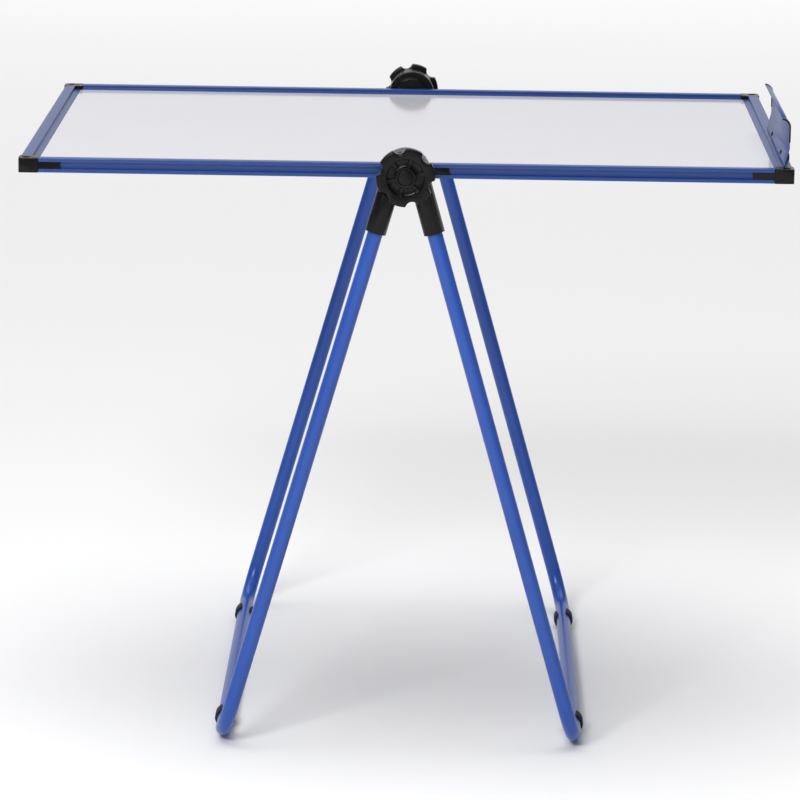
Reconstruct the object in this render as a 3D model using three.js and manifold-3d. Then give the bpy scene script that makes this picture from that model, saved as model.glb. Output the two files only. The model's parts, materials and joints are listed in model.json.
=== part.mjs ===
// Portable double-sided whiteboard on a folding U-stand, swung flat like a table.
//
// Millimetres, +Z up. X runs along the board's length, Y across its width, with
// the near side at -Y. The origin is on the floor, under the middle of the stand.
// Two bent-tube legs cross at a hub on each side of the board. A bolt through
// each hub ends in a slide block that runs in the groove of the board's long
// rail, so the board tilts about the hub axis and slides along it.

import * as THREE from "three";
import { mergeVertices } from "three/addons/utils/BufferGeometryUtils.js";
import Module from "manifold-3d";

const wasm = await Module();
wasm.setup();

// ---------------------------------------------------------------- dimensions

// Board, measured over its corner blocks.
const BOARD_LENGTH = 900;
const BOARD_WIDTH = 600;

// Fit values.
const GAP = 0.3;
const CORNER_PROUD = 1.6;
const CUT_OVER = 1;

// Rail section: a grooved outer box and two thin lips that hold the panel.
const RAIL_HEIGHT = 16.8;
const RAIL_BOX_DEPTH = 12.5;
const RAIL_LIP_DEPTH = 7;
const LIP_THICKNESS = 1.1;
const LIP_EDGE_THICKNESS = 0.6;
const GROOVE_MOUTH = 8.5;
const GROOVE_LIP = 1.4;
const GROOVE_DEPTH = 4.6;
const GROOVE_INNER_HEIGHT = 12.4;
const GROOVE_WALL = 3.6;
const RAIL_EDGE = 0.5;

// Panel: a light core between two lacquered steel writing sheets.
const PANEL_THICKNESS = 6.5;
const SHEET_THICKNESS = 0.4;
const PANEL_PLAY = 0.25;
const PANEL_EDGE_PLAY = 0.5;

// Corner blocks.
const CORNER_SIZE = 23;
const CORNER_ROUND = 3;
const CORNER_EDGE = 0.8;
const TONGUE_LENGTH = 25;
const CORNER_HOLE_INSET = 8.5;
const CORNER_HOLE_RADIUS = 4.5;
const CORNER_HOLE_DEPTH = 4.5;

// Stand.
const AXIS_HEIGHT = 695;
const LEG_ANGLE = THREE.MathUtils.degToRad(16);
const TUBE_RADIUS = 9;
const TUBE_WALL = 1;
const TUBE_OFFSET = 14;
const TUBE_TOP = 32;
const BEND_RADIUS = 50;

// Rubber feet, open rings that snap over the bottom bars.
const FOOT_INSET = 92;
const FOOT_LENGTH = 20;
const FOOT_WALL = 3;
const FOOT_OPENING = THREE.MathUtils.degToRad(72);
const SOLE_DEPTH = 0.3;

// Hub: everything on the bolt, listed outward from the rail.
const BOLT_RADIUS = 3;
const BOLT_HEAD_RADIUS = 5;
const BOLT_HEAD_THICKNESS = 1.8;
const BOLT_HEAD_PLAY = 0.4;
const SPACER_THICKNESS = 10.5;
const SPACER_RADIUS = 29;
const SPACER_STEP_RADIUS = 21;
const SPACER_STEP = 6.5;
const EYE_RADIUS = 29;
const SOCKET_WALL = 3.5;
const SOCKET_REACH = 75;
const SOCKET_SCREW_DROP = 52;
const SOCKET_SCREW_POCKET = 1.5;
const WASHER_RADIUS = 12;
const WASHER_THICKNESS = 1.5;
const SLIDE_BLOCK_SHORT = 25;
const SLIDE_BLOCK_LONG = 50;

// Knobs.
const KNOB_RADIUS = 34.2;
const KNOB_THICKNESS = 14.7;
const KNOB_LOBES = 6;
const NEAR_KNOB_TURN = THREE.MathUtils.degToRad(43);
const FAR_KNOB_TURN = THREE.MathUtils.degToRad(17);
const SCALLOP_RADIUS = 8;
const SCALLOP_DEPTH = 5.5;
const KNOB_NECK_RADIUS = 29;
const KNOB_NECK = 2.5;
const KNOB_GROOVE_INNER = 12;
const KNOB_GROOVE_OUTER = 22;
const KNOB_GROOVE_DEPTH = 4.5;
const KNOB_OUTER_DRAFT = 1;
const KNOB_INNER_DRAFT = 0.5;
const KNOB_EDGE = 2;
const CAP_RADIUS = 8.8;
const CAP_THICKNESS = 2.6;
const NUT_ACROSS_FLATS = 10;
const NUT_THICKNESS = 4.8;

// Screws and rivets. Head and cross shapes are shares of the head's radius and height.
const CORNER_SCREW = { headRadius: 3.9, headHeight: 2.4, radius: 2, length: 10.7, slot: 1.1 };
const SOCKET_SCREW = { headRadius: 3.4, headHeight: 2.2, radius: 1.6, length: 4.1, slot: 0.9 };
const TRAY_RIVET = { headRadius: 2.8, headHeight: 0.9, radius: 1.5, length: 4.2, slot: 0 };
const HEAD_SHAPE = { rimHeight: 0.45, shoulder: 0.8, shoulderHeight: 0.85, crown: 0.45 };
const CROSS_SHAPE = { reach: 0.55, floorHeight: 0.4 };

// Pen tray: a bent sheet that stands on the rail, with its lip curled inward.
const TRAY_LENGTH = 280;
const TRAY_SHEET = 0.8;
const TRAY_INSET = 10;
const TRAY_LEAN = 4.8;
const TRAY_LEAN_HEIGHT = 20;
const TRAY_FLAT = 26;
const TRAY_LIP_RADIUS = 9;
const TRAY_CLIP_LENGTH = 30;
const TRAY_CLIP_SPACING = 136;
const TRAY_CLIP_HEIGHT = 13;
const TRAY_CLIP_WALL = 1.2;
const TRAY_CLIP_SHOULDER = 9;
const TRAY_CLIP_SLOPE = 3;
const TRAY_RIVET_HEIGHT = 5;
const TRIM_LENGTH = 6;
const TRIM_WALL = 0.4;
const TRIM_PLAY = 0.2;
const TRIM_START = 28;

// Facets.
const ROUND_SIDES = 20;
const DISC_SIDES = 36;
const SCREW_SIDES = 16;
const SMALL_SIDES = 12;
const BEND_STEPS = 6;
const CURL_STEPS = 8;
const ARC_STEPS = 8;
const FOOT_STEPS = 14;
const CORNER_STEPS = 6;

// ------------------------------------------------------------ derived places

const HALF_LENGTH = BOARD_LENGTH / 2;
const HALF_WIDTH = BOARD_WIDTH / 2;
const HALF_HEIGHT = RAIL_HEIGHT / 2;
const RAIL_FACE_X = HALF_LENGTH - CORNER_PROUD;
const RAIL_FACE_Y = HALF_WIDTH - CORNER_PROUD;
const CHANNEL_START = GROOVE_DEPTH + GROOVE_WALL;
const CHANNEL_HALF = PANEL_THICKNESS / 2 + PANEL_PLAY;
const PANEL_HALF_X = RAIL_FACE_X - CHANNEL_START - PANEL_EDGE_PLAY;
const PANEL_HALF_Y = RAIL_FACE_Y - CHANNEL_START - PANEL_EDGE_PLAY;

const SOCKET_RADIUS = TUBE_RADIUS + SOCKET_WALL;
const SOCKET_SCREW_SEAT = SOCKET_RADIUS - SOCKET_SCREW_POCKET;
const SPACER_START = RAIL_FACE_Y + GAP;
const SPACER_END = SPACER_START + SPACER_THICKNESS;
const TUBE_PLANE = SPACER_END + GAP + SOCKET_RADIUS;
const EYE_OUTER = SOCKET_RADIUS;
const EYE_INNER = GAP / 2;
const KNOB_BACK = TUBE_PLANE + SOCKET_RADIUS + GAP;
const KNOB_FRONT = KNOB_BACK + KNOB_THICKNESS;
const CAP_FRONT = KNOB_FRONT - GAP;
const CAP_BACK = CAP_FRONT - CAP_THICKNESS;
const NUT_FRONT = CAP_BACK - GAP;
const NUT_BACK = NUT_FRONT - NUT_THICKNESS;
const BOLT_END = NUT_FRONT - GAP;
const BOLT_START = RAIL_FACE_Y - GROOVE_DEPTH + BOLT_HEAD_PLAY;

const FOOT_RADIUS = TUBE_RADIUS + FOOT_WALL + SOLE_DEPTH;
const BAR_HEIGHT = FOOT_RADIUS - SOLE_DEPTH;
const BAR_DROP = (AXIS_HEIGHT - BAR_HEIGHT + TUBE_OFFSET * Math.sin(LEG_ANGLE)) / Math.cos(LEG_ANGLE);

// ------------------------------------------------------------------ materials

const blueTube = new THREE.MeshStandardMaterial({ color: 0x3458a8, roughness: 0.35, metalness: 0 });
const blueRail = new THREE.MeshStandardMaterial({ color: 0x3a5eb0, roughness: 0.32, metalness: 0.1 });
const whiteSheet = new THREE.MeshStandardMaterial({ color: 0xe6e6ec, roughness: 0.15, metalness: 0 });
const coreBoard = new THREE.MeshStandardMaterial({ color: 0xb79a6b, roughness: 0.9, metalness: 0 });
const blackPlastic = new THREE.MeshStandardMaterial({ color: 0x232125, roughness: 0.42, metalness: 0 });
const blackRubber = new THREE.MeshStandardMaterial({ color: 0x1a1a1c, roughness: 0.8, metalness: 0 });
const blackSteel = new THREE.MeshStandardMaterial({ color: 0x2a2a2d, roughness: 0.45, metalness: 1 });
const zincSteel = new THREE.MeshStandardMaterial({ color: 0xb4b8bc, roughness: 0.35, metalness: 1 });

// -------------------------------------------------------------------- helpers

/** A closed three.js geometry as a solid that can be cut and joined. */
function toSolid(geometry) {
  const plain = geometry.clone();
  plain.deleteAttribute("normal");
  plain.deleteAttribute("uv");
  const merged = mergeVertices(plain, 1e-4);
  const vertProperties = new Float32Array(merged.attributes.position.array);
  const triVerts = new Uint32Array(merged.index.array);
  return new wasm.Manifold(new wasm.Mesh({ numProp: 3, vertProperties, triVerts }));
}

/** A solid back as a geometry that a mesh can show. */
function toGeometry(solid) {
  const { vertProperties, triVerts } = solid.getMesh();
  const geometry = new THREE.BufferGeometry();
  geometry.setAttribute("position", new THREE.BufferAttribute(vertProperties, 3));
  geometry.setIndex(new THREE.BufferAttribute(triVerts, 1));
  return geometry;
}

/** Joins a list of geometries to the first one, then cuts another list from the result. */
function carve(first, joins, cuts) {
  let solid = toSolid(first);
  for (const geometry of joins) {
    solid = solid.add(toSolid(geometry));
  }
  for (const geometry of cuts) {
    solid = solid.subtract(toSolid(geometry));
  }
  return toGeometry(solid);
}

/** A box between two corners. */
function box(low, high) {
  const [x0, y0, z0] = low;
  const [x1, y1, z1] = high;
  const geometry = new THREE.BoxGeometry(x1 - x0, y1 - y0, z1 - z0);
  return geometry.translate((x0 + x1) / 2, (y0 + y1) / 2, (z0 + z1) / 2);
}

/** A cylinder about the Y axis, from y0 to y1. */
function rodY(radius, y0, y1, sides = ROUND_SIDES) {
  return new THREE.CylinderGeometry(radius, radius, y1 - y0, sides).translate(0, (y0 + y1) / 2, 0);
}

/** A cylinder about the Z axis, from z0 to z1. */
function rodZ(radius, z0, z1, sides = ROUND_SIDES) {
  return rodY(radius, z0, z1, sides).rotateX(Math.PI / 2);
}

/** Extrudes an outline drawn in X and Z along Y, from y0 to y1. */
function extrudeY(shape, y0, y1, curveSegments = ARC_STEPS) {
  const settings = { depth: y1 - y0, bevelEnabled: false, curveSegments };
  const geometry = new THREE.ExtrudeGeometry(shape, settings);
  return geometry.rotateX(Math.PI / 2).translate(0, y1, 0);
}

/** Extrudes an outline drawn in Y and Z along X, from x0 to x1. */
function extrudeX(shape, x0, x1) {
  const settings = { depth: x1 - x0, bevelEnabled: false, curveSegments: ARC_STEPS };
  const geometry = new THREE.ExtrudeGeometry(shape, settings);
  const turn = new THREE.Matrix4().makeBasis(
    new THREE.Vector3(0, 1, 0),
    new THREE.Vector3(0, 0, 1),
    new THREE.Vector3(1, 0, 0)
  );
  return geometry.applyMatrix4(turn).translate(x0, 0, 0);
}

/** A closed outline through a list of [x, y] points. */
function outline(points) {
  return new THREE.Shape(points.map(([x, y]) => new THREE.Vector2(x, y)));
}

/** The outline of a bent strip, given its centre line and its thickness. */
function strip(centreLine, thickness) {
  const sides = [[], []];
  centreLine.forEach((point, i) => {
    const before = centreLine[Math.max(i - 1, 0)];
    const after = centreLine[Math.min(i + 1, centreLine.length - 1)];
    const arriving = point.clone().sub(before);
    const leaving = after.clone().sub(point);
    const mean = arriving.clone().normalize().add(leaving.clone().normalize()).normalize();
    const normal = new THREE.Vector2(-mean.y, mean.x);
    const straight = arriving.length() > 0 ? arriving : leaving;
    const mitre = Math.abs(straight.clone().normalize().dot(mean));
    const reach = thickness / 2 / mitre;
    sides[0].push(point.clone().addScaledVector(normal, reach));
    sides[1].unshift(point.clone().addScaledVector(normal, -reach));
  });
  return new THREE.Shape([...sides[0], ...sides[1]]);
}

/** A headed fastener on the Z axis: head above z = 0, shank below, cross-slotted where slot is set. */
function fastener({ headRadius, headHeight, radius, length, slot }) {
  const profile = [
    [0, -length],
    [radius, -length],
    [radius, 0],
    [headRadius, 0],
    [headRadius, headHeight * HEAD_SHAPE.rimHeight],
    [headRadius * HEAD_SHAPE.shoulder, headHeight * HEAD_SHAPE.shoulderHeight],
    [headRadius * HEAD_SHAPE.crown, headHeight],
    [0, headHeight]
  ].map(([r, z]) => new THREE.Vector2(r, z));
  const body = new THREE.LatheGeometry(profile, SCREW_SIDES).rotateX(Math.PI / 2);
  if (slot === 0) {
    return carve(body, [], []);
  }
  const reach = headRadius * CROSS_SHAPE.reach;
  const floor = headHeight * CROSS_SHAPE.floorHeight;
  const top = headHeight + CUT_OVER;
  const along = box([-reach, -slot / 2, floor], [reach, slot / 2, top]);
  const across = box([-slot / 2, -reach, floor], [slot / 2, reach, top]);
  return carve(body, [], [along, across]);
}

/** A named mesh, placed in a parent group. */
function addMesh(parent, name, geometry, material, position = [0, 0, 0], turn = [0, 0, 0]) {
  const mesh = new THREE.Mesh(geometry, material);
  mesh.name = name;
  mesh.position.set(...position);
  mesh.rotation.set(...turn);
  parent.add(mesh);
  return mesh;
}

/** An empty group in a parent, turned about the vertical. */
function addGroup(parent, position = [0, 0, 0], turnZ = 0) {
  const group = new THREE.Group();
  group.position.set(...position);
  group.rotation.z = turnZ;
  parent.add(group);
  return group;
}

// ----------------------------------------------------------------------- legs

/** A U of tube hanging in the YZ plane, with one step for each straight and several for each bend. */
class LegPath extends THREE.Curve {
  constructor() {
    super();
    const side = TUBE_PLANE;
    const bend = BEND_RADIUS;
    const corners = [
      { centre: [-side + bend, -BAR_DROP + bend], start: Math.PI },
      { centre: [side - bend, -BAR_DROP + bend], start: 1.5 * Math.PI }
    ];
    this.stations = [new THREE.Vector2(-side, -TUBE_TOP)];
    for (const { centre, start } of corners) {
      for (let i = 0; i <= BEND_STEPS; i += 1) {
        const angle = start + (i / BEND_STEPS) * (Math.PI / 2);
        const y = centre[0] + bend * Math.cos(angle);
        const z = centre[1] + bend * Math.sin(angle);
        this.stations.push(new THREE.Vector2(y, z));
      }
    }
    this.stations.push(new THREE.Vector2(side, -TUBE_TOP));
  }

  get steps() {
    return this.stations.length - 1;
  }

  /** Equal steps of u land on the stations themselves. */
  getUtoTmapping(u) {
    return u;
  }

  getPoint(t, target = new THREE.Vector3()) {
    const reach = t * this.steps;
    const i = Math.min(Math.floor(reach), this.steps - 1);
    const at = this.stations[i].clone().lerp(this.stations[i + 1], reach - i);
    return target.set(TUBE_OFFSET, at.x, at.y);
  }

  getTangent(t, target = new THREE.Vector3()) {
    const i = Math.round(t * this.steps);
    const before = this.stations[Math.max(i - 1, 0)];
    const here = this.stations[i];
    const after = this.stations[Math.min(i + 1, this.steps)];
    const arriving = here.clone().sub(before).normalize();
    const leaving = after.clone().sub(here).normalize();
    const mean = arriving.add(leaving).normalize();
    return target.set(0, mean.x, mean.y);
  }
}

/** The bent tube, open at both ends and drilled for its two socket screws. */
function legFrameGeometry() {
  const path = new LegPath();
  const section = new THREE.Shape();
  section.absarc(0, 0, TUBE_RADIUS, 0, 2 * Math.PI);
  const bore = new THREE.Path();
  bore.absarc(0, 0, TUBE_RADIUS - TUBE_WALL, 0, 2 * Math.PI, true);
  section.holes.push(bore);
  const settings = {
    steps: path.steps,
    extrudePath: path,
    curveSegments: ROUND_SIDES / 2,
    bevelEnabled: false
  };
  const tube = new THREE.ExtrudeGeometry(section, settings);
  const holeRadius = SOCKET_SCREW.radius + GAP;
  const drills = [-1, 1].map((side) => {
    const from = TUBE_PLANE - TUBE_RADIUS - CUT_OVER;
    const to = TUBE_PLANE - TUBE_RADIUS / 2;
    const [start, end] = side > 0 ? [from, to] : [-to, -from];
    const drill = rodY(holeRadius, start, end, SMALL_SIDES);
    return drill.translate(TUBE_OFFSET, 0, -SOCKET_SCREW_DROP);
  });
  return carve(tube, [], drills);
}

/** The socket moulding: a barrel for the tube and, on its -Y half, an eye for the hub bolt. */
function socketGeometry() {
  const eye = rodY(EYE_RADIUS, -EYE_OUTER, -EYE_INNER, DISC_SIDES);
  const barrelTop = -SOCKET_RADIUS;
  const barrel = rodZ(SOCKET_RADIUS, -SOCKET_REACH, barrelTop, DISC_SIDES / 2).translate(TUBE_OFFSET, 0, 0);
  const neighbourRoom = rodY(EYE_RADIUS + 2 * GAP, -EYE_INNER, EYE_OUTER + CUT_OVER, DISC_SIDES);
  const boltHole = rodY(BOLT_RADIUS + GAP, -EYE_OUTER - CUT_OVER, EYE_OUTER + CUT_OVER);
  const boreEnd = -SOCKET_REACH - CUT_OVER;
  const bore = rodZ(TUBE_RADIUS + GAP, boreEnd, -TUBE_TOP + GAP).translate(TUBE_OFFSET, 0, 0);
  const seat = SOCKET_SCREW_SEAT;
  const pocket = rodY(SOCKET_SCREW.headRadius + GAP, seat, SOCKET_RADIUS + CUT_OVER, SCREW_SIDES);
  const screwHole = rodY(SOCKET_SCREW.radius + GAP, TUBE_RADIUS / 2, seat + CUT_OVER, SMALL_SIDES);
  const cuts = [neighbourRoom, boltHole, bore];
  return { eye, barrel, cuts, screwCuts: [pocket, screwHole] };
}

/** One socket with its screw pocket on the side that faces the board. */
function socketFor(boardSide) {
  const { eye, barrel, cuts, screwCuts } = socketGeometry();
  const turned = screwCuts.map((cut) => {
    const facing = boardSide > 0 ? cut : cut.rotateZ(Math.PI);
    return facing.translate(TUBE_OFFSET, 0, -SOCKET_SCREW_DROP);
  });
  return carve(eye, [barrel], [...cuts, ...turned]);
}

/** The open ring of a foot, seen along the bar, with a flat sole and its mouth towards the hub. */
function footGeometry() {
  const inner = TUBE_RADIUS + GAP;
  const mouthCentre = Math.PI / 2 + LEG_ANGLE;
  const start = mouthCentre + FOOT_OPENING / 2;
  const end = mouthCentre - FOOT_OPENING / 2 + 2 * Math.PI;
  const ring = new THREE.Shape();
  ring.absarc(0, 0, FOOT_RADIUS, start, end, false);
  ring.absarc(0, 0, inner, end, start, true);
  ring.closePath();
  const half = FOOT_LENGTH / 2;
  const snapRing = extrudeY(ring, -half, half, FOOT_STEPS);
  const reach = FOOT_RADIUS + CUT_OVER;
  const belowSole = box([-reach, -half - CUT_OVER, -reach], [reach, half + CUT_OVER, -BAR_HEIGHT]);
  return carve(snapRing, [], [belowSole]);
}

/** A whole leg hanging from the hub axis: tube, two sockets, their screws and two feet. */
function addLeg(stand, legName, turnZ) {
  const leaning = addGroup(stand, [0, 0, AXIS_HEIGHT], turnZ);
  const leg = new THREE.Group();
  leg.rotation.y = -LEG_ANGLE;
  leaning.add(leg);
  addMesh(leg, `${legName}_leg_frame`, legFrameGeometry(), blueTube);
  for (const side of [-1, 1]) {
    const isNear = turnZ === 0 ? side < 0 : side > 0;
    const prefix = `${isNear ? "near" : "far"}_${legName}`;
    addMesh(leg, `${prefix}_socket`, socketFor(-side), blackPlastic, [0, side * TUBE_PLANE, 0]);
    const seat = TUBE_PLANE - SOCKET_SCREW_SEAT - GAP;
    const screwPlace = [TUBE_OFFSET, side * seat, -SOCKET_SCREW_DROP];
    const screwTurn = [(side * Math.PI) / 2, 0, 0];
    addMesh(leg, `${prefix}_socket_screw`, fastener(SOCKET_SCREW), zincSteel, screwPlace, screwTurn);
    const footPlace = [TUBE_OFFSET, side * (TUBE_PLANE - FOOT_INSET), -BAR_DROP];
    addMesh(leg, `${prefix}_foot`, footGeometry(), blackRubber, footPlace, [0, LEG_ANGLE, 0]);
  }
  return leg;
}

// ---------------------------------------------------------------------- board

/** The T-shaped section that fills the rail's groove, drawn in depth and height. */
function grooveFilling(play) {
  const mouth = GROOVE_MOUTH / 2 - play;
  const inner = GROOVE_INNER_HEIGHT / 2 - play;
  const lip = GROOVE_LIP + play;
  const floor = GROOVE_DEPTH - play;
  return outline([
    [play / 2, -mouth],
    [lip, -mouth],
    [lip, -inner],
    [floor, -inner],
    [floor, inner],
    [lip, inner],
    [lip, mouth],
    [play / 2, mouth]
  ]);
}

/** A rail along X, with its outer face on y = 0 and its lips towards +Y. */
function railGeometry(length) {
  const top = HALF_HEIGHT;
  const lipTop = CHANNEL_HALF + LIP_THICKNESS;
  const lipEdgeTop = CHANNEL_HALF + LIP_EDGE_THICKNESS;
  const lipEnd = RAIL_BOX_DEPTH + RAIL_LIP_DEPTH;
  const mouth = GROOVE_MOUTH / 2;
  const inner = GROOVE_INNER_HEIGHT / 2;
  const upper = [
    [0, mouth],
    [0, top - RAIL_EDGE],
    [RAIL_EDGE, top],
    [RAIL_BOX_DEPTH - RAIL_EDGE, top],
    [RAIL_BOX_DEPTH, top - RAIL_EDGE],
    [RAIL_BOX_DEPTH, lipTop],
    [lipEnd, lipEdgeTop],
    [lipEnd, CHANNEL_HALF],
    [CHANNEL_START, CHANNEL_HALF]
  ];
  const lower = upper.map(([depth, height]) => [depth, -height]).reverse();
  const groove = [
    [GROOVE_LIP, -mouth],
    [GROOVE_LIP, -inner],
    [GROOVE_DEPTH, -inner],
    [GROOVE_DEPTH, inner],
    [GROOVE_LIP, inner],
    [GROOVE_LIP, mouth]
  ];
  const section = outline([...upper, ...lower, ...groove]);
  return extrudeX(section, -length / 2, length / 2);
}

/** The block at the +X, -Y corner, with its outermost corner at the origin. */
function cornerGeometry() {
  const size = CORNER_SIZE;
  const round = CORNER_ROUND;
  const edge = CORNER_EDGE;
  const plan = new THREE.Shape();
  plan.moveTo(-size + edge, 0);
  plan.lineTo(-round, 0);
  plan.absarc(-round, round, round, -Math.PI / 2, 0, false);
  plan.lineTo(0, size - edge);
  plan.lineTo(-edge, size);
  plan.lineTo(-size + edge, size);
  plan.lineTo(-size, size - edge);
  plan.lineTo(-size, edge);
  plan.closePath();
  const settings = { depth: RAIL_HEIGHT, bevelEnabled: false, curveSegments: CORNER_STEPS };
  const block = new THREE.ExtrudeGeometry(plan, settings).translate(0, 0, -HALF_HEIGHT);
  const filling = grooveFilling(GAP);
  const root = CORNER_PROUD + GROOVE_DEPTH;
  const alongX = extrudeX(filling, -size - TONGUE_LENGTH, -root).translate(0, CORNER_PROUD, 0);
  const alongY = extrudeY(mirrored(filling), root, size + TONGUE_LENGTH).translate(-CORNER_PROUD, 0, 0);
  const slotEdge = CORNER_PROUD + CHANNEL_START;
  const slot = box([-size - CUT_OVER, slotEdge, -CHANNEL_HALF], [-slotEdge, size + CUT_OVER, CHANNEL_HALF]);
  const sink = HALF_HEIGHT - CORNER_HOLE_DEPTH;
  const inset = CORNER_HOLE_INSET;
  const sinkHole = rodZ(CORNER_HOLE_RADIUS, sink, HALF_HEIGHT + CUT_OVER).translate(-inset, inset, 0);
  const shankFloor = sink - CORNER_SCREW.length;
  const shankHole = rodZ(CORNER_SCREW.radius + GAP, shankFloor, sink + CUT_OVER, SCREW_SIDES);
  shankHole.translate(-inset, inset, 0);
  return carve(block, [alongX, alongY], [slot, sinkHole, shankHole]);
}

/** The mirror image of an outline about its vertical axis. */
function mirrored(shape) {
  const points = shape.getPoints().map(({ x, y }) => new THREE.Vector2(-x, y));
  return new THREE.Shape(points.reverse());
}

/** One layer of the panel between two heights. */
function panelLayer(low, high) {
  return box([-PANEL_HALF_X, -PANEL_HALF_Y, low], [PANEL_HALF_X, PANEL_HALF_Y, high]);
}

/** Panel, rails and corner blocks, centred on the hub axis. */
function addBoard(stand) {
  const board = addGroup(stand, [0, 0, AXIS_HEIGHT]);
  const face = PANEL_THICKNESS / 2;
  const core = face - SHEET_THICKNESS - GAP;
  addMesh(board, "writing_sheet_top", panelLayer(face - SHEET_THICKNESS, face), whiteSheet);
  addMesh(board, "board_core", panelLayer(-core, core), coreBoard);
  addMesh(board, "writing_sheet_bottom", panelLayer(-face, SHEET_THICKNESS - face), whiteSheet);
  const clear = 2 * (CORNER_SIZE + GAP);
  const sides = [
    { side: "near", corner: "near_right", length: BOARD_LENGTH, at: [0, -RAIL_FACE_Y], end: [1, -1] },
    { side: "right", corner: "far_right", length: BOARD_WIDTH, at: [RAIL_FACE_X, 0], end: [1, 1] },
    { side: "far", corner: "far_left", length: BOARD_LENGTH, at: [0, RAIL_FACE_Y], end: [-1, 1] },
    { side: "left", corner: "near_left", length: BOARD_WIDTH, at: [-RAIL_FACE_X, 0], end: [-1, -1] }
  ];
  sides.forEach(({ side, corner, length, at, end }, quarter) => {
    const turn = (quarter * Math.PI) / 2;
    addMesh(board, `${side}_rail`, railGeometry(length - clear), blueRail, [...at, 0], [0, 0, turn]);
    const place = addGroup(board, [end[0] * HALF_LENGTH, end[1] * HALF_WIDTH, 0], turn);
    addMesh(place, `${corner}_corner_block`, cornerGeometry(), blackPlastic);
    const screwSeat = HALF_HEIGHT - CORNER_HOLE_DEPTH + GAP;
    const screwPlace = [-CORNER_HOLE_INSET, CORNER_HOLE_INSET, screwSeat];
    addMesh(place, `${corner}_corner_screw`, fastener(CORNER_SCREW), zincSteel, screwPlace);
  });
  return board;
}

// ------------------------------------------------------------------- pen tray

/** The tray's bent line in X and Z, from its foot on the rail to the tip of its lip. */
function trayLine(from = 0) {
  const footX = HALF_LENGTH - TRAY_INSET;
  const footZ = HALF_HEIGHT + GAP;
  const wallX = footX + TRAY_LEAN;
  const bendZ = footZ + TRAY_LEAN_HEIGHT;
  const curlZ = bendZ + TRAY_FLAT;
  const curlX = wallX - TRAY_LIP_RADIUS;
  const line = [];
  if (from < TRAY_LEAN_HEIGHT) {
    line.push(new THREE.Vector2(footX, footZ), new THREE.Vector2(wallX, bendZ));
  } else {
    line.push(new THREE.Vector2(wallX, footZ + from));
  }
  for (let i = 0; i <= CURL_STEPS; i += 1) {
    const angle = (i / CURL_STEPS) * (Math.PI / 2);
    const x = curlX + TRAY_LIP_RADIUS * Math.cos(angle);
    const z = curlZ + TRAY_LIP_RADIUS * Math.sin(angle);
    line.push(new THREE.Vector2(x, z));
  }
  return line;
}

/** The hooked clip behind the tray, which rides over the rail and into its groove. */
function trayClipOutline() {
  const railTop = HALF_HEIGHT + GAP;
  const lean = TRAY_LEAN / TRAY_LEAN_HEIGHT;
  const back = HALF_LENGTH - TRAY_INSET + TRAY_SHEET / 2 + GAP;
  const outside = RAIL_FACE_X + GAP + TRAY_CLIP_WALL;
  const crown = railTop + TRAY_CLIP_HEIGHT;
  const behindLip = RAIL_FACE_X - GROOVE_LIP - GAP;
  const underLip = GROOVE_MOUTH / 2 - GAP;
  const hookTip = GROOVE_INNER_HEIGHT / 2 - 2 * GAP;
  return outline([
    [back, railTop],
    [RAIL_FACE_X + GAP, railTop],
    [RAIL_FACE_X + GAP, underLip],
    [behindLip, underLip],
    [behindLip, hookTip],
    [behindLip - TRAY_CLIP_WALL, hookTip],
    [behindLip - TRAY_CLIP_WALL, underLip - TRAY_CLIP_WALL],
    [outside, underLip - TRAY_CLIP_WALL],
    [outside, crown - TRAY_CLIP_SHOULDER],
    [outside - TRAY_CLIP_SLOPE, crown],
    [back + lean * TRAY_CLIP_HEIGHT, crown]
  ]);
}

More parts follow.
